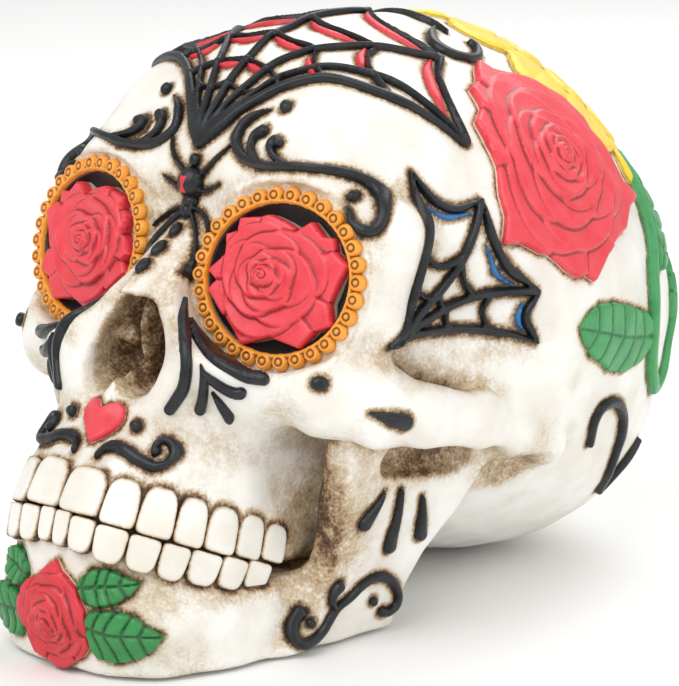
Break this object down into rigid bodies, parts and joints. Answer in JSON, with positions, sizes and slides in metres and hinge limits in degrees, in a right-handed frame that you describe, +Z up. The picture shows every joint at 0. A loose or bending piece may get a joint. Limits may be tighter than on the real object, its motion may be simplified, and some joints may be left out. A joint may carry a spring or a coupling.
{
  "type": "decorative sugar skull ornament",
  "caption": "Life-size painted skull ornament with raised roses, webs, scrolls and beaded eye rings, standing on pads under its jaw and cranium.",
  "frame": {"origin": "middle of the footprint, on the flat surface that the pads rest on", "axes": "+Z up; the face looks along -Y; +X is the skull's own left side; +Y runs back to the cranium"},
  "size_m": [0.1352, 0.198, 0.1445],
  "materials": {
    "painted_bone": "satin",
    "painted_enamel": "satin",
    "orange_paint": "satin",
    "coral_paint": "satin",
    "crimson_paint": "satin",
    "green_paint": "satin",
    "yellow_paint": "satin",
    "black_paint": "gloss",
    "felt_pad": "felt"
  },
  "bodies": {
    "root": {"skull_casting": "painted_bone", "lower_jaw": "painted_bone", "upper_teeth": "painted_enamel", "lower_teeth": "painted_enamel", "eye_ring_left": "orange_paint", "eye_ring_right": "orange_paint", "eye_cup_left": "black_paint", "eye_cup_right": "black_paint", "eye_rose_left": "coral_paint", "eye_rose_right": "coral_paint", "forehead_web": "black_paint", "temple_web_left": "black_paint", "temple_web_right": "black_paint", "brow_scroll_left": "black_paint", "brow_scroll_right": "black_paint", "forehead_dot_left": "black_paint", "forehead_dot_right": "black_paint", "brow_dot_left": "black_paint", "brow_dot_right": "black_paint", "cheek_dot_left": "black_paint", "cheek_dot_right": "black_paint", "eye_spray_left": "black_paint", "eye_spray_right": "black_paint", "moustache_left": "black_paint", "moustache_right": "black_paint", "lip_dot_left": "black_paint", "lip_dot_right": "black_paint", "cheek_tear_left": "black_paint", "cheek_tear_right": "black_paint", "front_jaw_tear_left": "black_paint", "front_jaw_tear_right": "black_paint", "middle_jaw_tear_left": "black_paint", "middle_jaw_tear_right": "black_paint", "rear_jaw_tear_left": "black_paint", "rear_jaw_tear_right": "black_paint", "jaw_scroll_left": "black_paint", "jaw_scroll_right": "black_paint", "heart": "coral_paint", "spider": "black_paint", "chin_rose": "crimson_paint", "chin_upper_leaf_left": "green_paint", "chin_upper_leaf_right": "green_paint", "chin_lower_leaf_left": "green_paint", "chin_lower_leaf_right": "green_paint", "back_flower": "yellow_paint", "side_rose_left": "coral_paint", "side_rose_right": "coral_paint", "rose_vine_left": "green_paint", "rose_vine_right": "green_paint", "front_vine_leaf_left": "green_paint", "front_vine_leaf_right": "green_paint", "upper_vine_leaf_left": "green_paint", "upper_vine_leaf_right": "green_paint", "crown_scroll_left": "black_paint", "crown_scroll_right": "black_paint", "nape_scroll_left": "black_paint", "nape_scroll_right": "black_paint", "jaw_left_pad": "felt_pad", "jaw_right_pad": "felt_pad", "cranium_pad": "felt_pad"}
  },
  "joints": []
}
